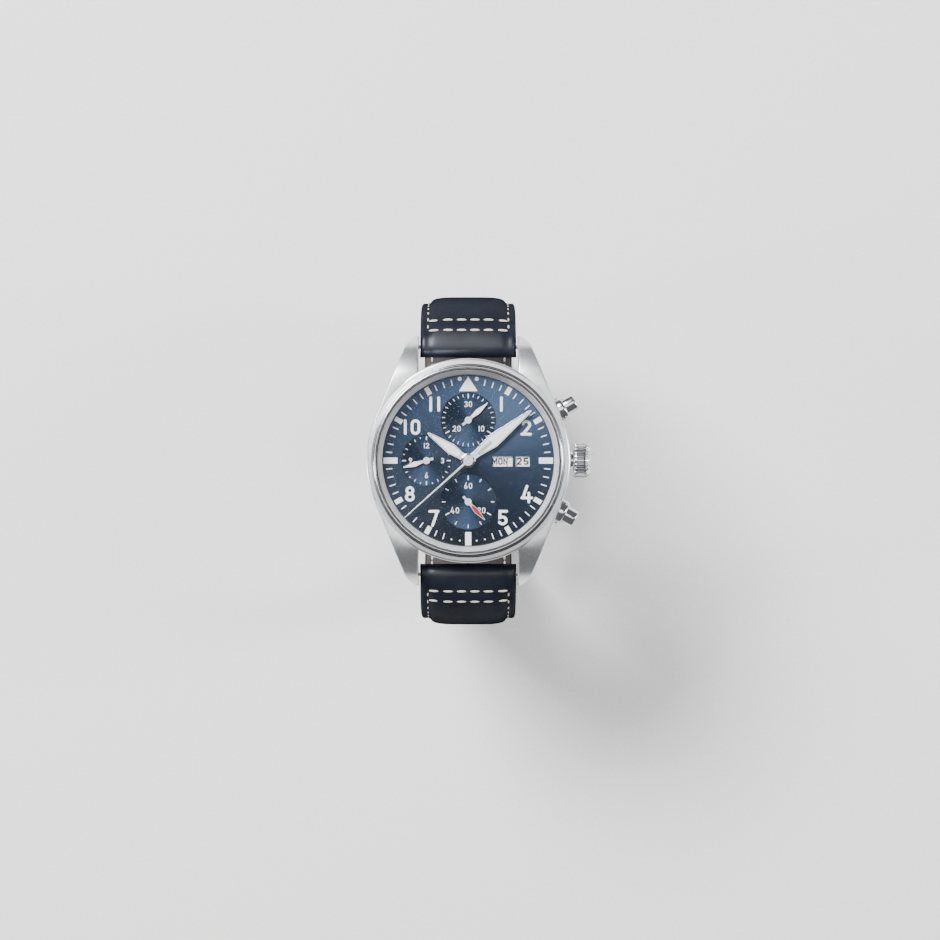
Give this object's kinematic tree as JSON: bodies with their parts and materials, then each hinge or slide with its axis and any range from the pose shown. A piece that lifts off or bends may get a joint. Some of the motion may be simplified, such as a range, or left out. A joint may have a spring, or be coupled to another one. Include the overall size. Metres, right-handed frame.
{
  "type": "automatic chronograph wristwatch",
  "caption": "Round steel pilot's style chronograph wristwatch with sunk counters, screw crown, pump pushers and an unbuckled padded leather strap with pin buckle.",
  "frame": {"origin": "centre of the case back's outer face, on the axis of the centre hands", "axes": "+Z out of the dial towards the wearer's eye, +Y towards 12 o'clock, +X towards the crown at 3 o'clock"},
  "size_m": [0.045, 0.0672, 0.0787],
  "materials": {
    "brushed_case": "satin brushed stainless steel",
    "polished_steel": "polished stainless steel",
    "sapphire": "clear sapphire",
    "black_rubber": "matt black seal rubber",
    "dial_blue": "blue sunray lacquer over brushed brass",
    "flange_silver": "satin silvered ring",
    "rhodium": "rhodium plated and grained",
    "nickel": "nickel plated",
    "brass": "gilt brass",
    "calendar_white": "silver white lacquer with dark printing",
    "hand_steel": "polished steel with off white luminous fill",
    "hand_red": "red lacquer",
    "blued_steel": "heat blued steel",
    "leather": "smooth dark navy calfskin, cream stitching"
  },
  "bodies": {
    "case": {"case_middle": "brushed_case", "bezel": "polished_steel", "crystal": "sapphire", "crystal_gasket": "black_rubber", "dial_flange": "flange_silver", "case_back_ring": "brushed_case", "case_back_crystal": "sapphire", "case_back_gasket": "black_rubber", "crown_tube": "polished_steel", "pusher_tube_upper": "polished_steel", "pusher_tube_lower": "polished_steel", "dial": "dial_blue", "calendar_seat": "calendar_white", "main_plate": "rhodium", "movement_ring": "nickel", "barrel_bridge": "rhodium", "train_bridge": "rhodium", "balance_cock": "rhodium", "rotor_bearing": "polished_steel", "spring_bar_upper": "polished_steel", "spring_bar_lower": "polished_steel"},
    "crown_seal": {"crown_gasket": "black_rubber"},
    "crown": {"crown": "polished_steel", "winding_stem": "blued_steel"},
    "pusher_upper": {"pusher_cap_upper": "polished_steel"},
    "pusher_lower": {"pusher_cap_lower": "polished_steel"},
    "lever_upper": {"operating_lever_upper": "rhodium"},
    "lever_lower": {"operating_lever_lower": "rhodium"},
    "column_wheel": {"column_wheel": "blued_steel"},
    "minute_group": {"minute_hand": "hand_steel", "cannon_pinion": "nickel", "centre_wheel": "brass"},
    "hour_group": {"hour_hand": "hand_steel", "hour_wheel": "brass"},
    "seconds_group": {"small_seconds_hand": "hand_red", "fourth_wheel": "brass"},
    "third": {"third_wheel": "brass"},
    "barrel": {"barrel": "brass"},
    "escape": {"escape_wheel": "nickel"},
    "pallet": {"pallet_fork": "nickel"},
    "balance": {"balance_wheel": "brass", "hairspring": "blued_steel"},
    "chrono_group": {"chrono_seconds_hand": "hand_steel", "chrono_wheel": "brass"},
    "minute_counter_group": {"minute_counter_hand": "hand_steel", "minute_counter_wheel": "brass"},
    "hour_counter_group": {"hour_counter_hand": "hand_steel", "hour_counter_wheel": "brass"},
    "day": {"day_disc": "calendar_white"},
    "date": {"date_disc": "calendar_white"},
    "rotor": {"rotor": "rhodium"},
    "strap_short": {"strap_short": "leather", "fixed_keeper": "leather"},
    "free_keeper": {"free_keeper": "leather"},
    "buckle": {"buckle_frame": "polished_steel", "buckle_bar": "polished_steel"},
    "tongue": {"buckle_tongue": "polished_steel"},
    "strap_long": {"strap_long": "leather"}
  },
  "joints": [
    {"name": "crown_pull", "type": "slide", "parent": "case", "child": "crown_seal", "axis": [1, 0, 0], "range_m": [0, 0.0016]},
    {"name": "crown_turn", "type": "hinge", "parent": "crown_seal", "child": "crown", "pos_m": [0, 0, 0.0056], "axis": [1, 0, 0], "continuous": true},
    {"name": "pusher_upper_press", "type": "slide", "parent": "case", "child": "pusher_upper", "axis": [-0.8746, -0.4848, 0], "range_m": [0, 0.001], "stiffness_N_per_m": 1500, "springref_m": -0.0005},
    {"name": "pusher_lower_press", "type": "slide", "parent": "case", "child": "pusher_lower", "axis": [-0.8746, 0.4848, 0], "range_m": [0, 0.001], "stiffness_N_per_m": 1500, "springref_m": -0.0005},
    {"name": "lever_upper_swing", "type": "hinge", "parent": "case", "child": "lever_upper", "pos_m": [0.00811, 0.01136, 0.0055], "axis": [0, 0, 1], "range_deg": [-9.55, 0]},
    {"name": "lever_lower_swing", "type": "hinge", "parent": "case", "child": "lever_lower", "pos_m": [0.00811, -0.01136, 0.0055], "axis": [0, 0, 1], "range_deg": [0, 9.55]},
    {"name": "column_wheel_step", "type": "hinge", "parent": "case", "child": "column_wheel", "pos_m": [0.0066, 0.0077, 0.005], "axis": [0, 0, 1], "continuous": true},
    {"name": "minute_hand_turn", "type": "hinge", "parent": "case", "child": "minute_group", "pos_m": [0, 0, 0.01], "axis": [0, 0, -1], "continuous": true},
    {"name": "hour_hand_turn", "type": "hinge", "parent": "case", "child": "hour_group", "pos_m": [0, 0, 0.01], "axis": [0, 0, -1], "continuous": true},
    {"name": "small_seconds_turn", "type": "hinge", "parent": "case", "child": "seconds_group", "pos_m": [0, -0.00825, 0.0094], "axis": [0, 0, -1], "continuous": true},
    {"name": "third_wheel_turn", "type": "hinge", "parent": "case", "child": "third", "pos_m": [0.0049, -0.0046, 0.0054], "axis": [0, 0, -1], "continuous": true},
    {"name": "barrel_turn", "type": "hinge", "parent": "case", "child": "barrel", "pos_m": [-0.0072, 0.0056, 0.0052], "axis": [0, 0, -1], "continuous": true},
    {"name": "escape_wheel_turn", "type": "hinge", "parent": "case", "child": "escape", "pos_m": [-0.0046, -0.0096, 0.0054], "axis": [0, 0, -1], "continuous": true},
    {"name": "pallet_fork_rock", "type": "hinge", "parent": "case", "child": "pallet", "pos_m": [-0.00657, -0.00734, 0.0054], "axis": [0, 0, 1], "range_deg": [-4, 4]},
    {"name": "balance_swing", "type": "hinge", "parent": "case", "child": "balance", "pos_m": [-0.0093, -0.0042, 0.0047], "axis": [0, 0, 1], "range_deg": [-270, 270], "stiffness_Nm_per_rad": 0.00000033},
    {"name": "chrono_seconds_turn", "type": "hinge", "parent": "case", "child": "chrono_group", "pos_m": [0, 0, 0.0109], "axis": [0, 0, -1], "continuous": true},
    {"name": "minute_counter_turn", "type": "hinge", "parent": "case", "child": "minute_counter_group", "pos_m": [0, 0.0081, 0.0094], "axis": [0, 0, -1], "continuous": true},
    {"name": "hour_counter_turn", "type": "hinge", "parent": "case", "child": "hour_counter_group", "pos_m": [-0.00835, 0, 0.0094], "axis": [0, 0, -1], "continuous": true},
    {"name": "day_disc_turn", "type": "hinge", "parent": "case", "child": "day", "pos_m": [0, 0, 0.0083], "axis": [0, 0, -1], "continuous": true},
    {"name": "date_disc_turn", "type": "hinge", "parent": "case", "child": "date", "pos_m": [0, 0, 0.0083], "axis": [0, 0, -1], "continuous": true},
    {"name": "rotor_turn", "type": "hinge", "parent": "case", "child": "rotor", "pos_m": [0, 0, 0.0025], "axis": [0, 0, 1], "continuous": true},
    {"name": "strap_short_swing", "type": "hinge", "parent": "case", "child": "strap_short", "pos_m": [0, 0.0229, 0.0029], "axis": [1, 0, 0], "range_deg": [-10, 65]},
    {"name": "strap_long_swing", "type": "hinge", "parent": "case", "child": "strap_long", "pos_m": [0, -0.0229, 0.0029], "axis": [1, 0, 0], "range_deg": [-65, 0]},
    {"name": "free_keeper_slide", "type": "slide", "parent": "strap_short", "child": "free_keeper", "axis": [0, 1, 0], "range_m": [0, 0.004]},
    {"name": "buckle_swing", "type": "hinge", "parent": "strap_short", "child": "buckle", "pos_m": [0, -0.0003, -0.044], "axis": [1, 0, 0], "range_deg": [-45, 45]},
    {"name": "tongue_swing", "type": "hinge", "parent": "buckle", "child": "tongue", "pos_m": [0, -0.0003, -0.044], "axis": [1, 0, 0], "range_deg": [0, 60]}
  ],
  "couplings": [
    {"joint": "hour_hand_turn", "follows": "minute_hand_turn", "ratio": 0.083333},
    {"joint": "small_seconds_turn", "follows": "minute_hand_turn", "ratio": 60},
    {"joint": "third_wheel_turn", "follows": "minute_hand_turn", "ratio": -8},
    {"joint": "barrel_turn", "follows": "minute_hand_turn", "ratio": -0.13333},
    {"joint": "escape_wheel_turn", "follows": "minute_hand_turn", "ratio": -960},
    {"joint": "minute_counter_turn", "follows": "chrono_seconds_turn", "ratio": 0.033333},
    {"joint": "hour_counter_turn", "follows": "chrono_seconds_turn", "ratio": 0.0013889},
    {"joint": "lever_upper_swing", "follows": "pusher_upper_press", "rad_per_m": -166.67},
    {"joint": "lever_lower_swing", "follows": "pusher_lower_press", "rad_per_m": 166.67}
  ]
}
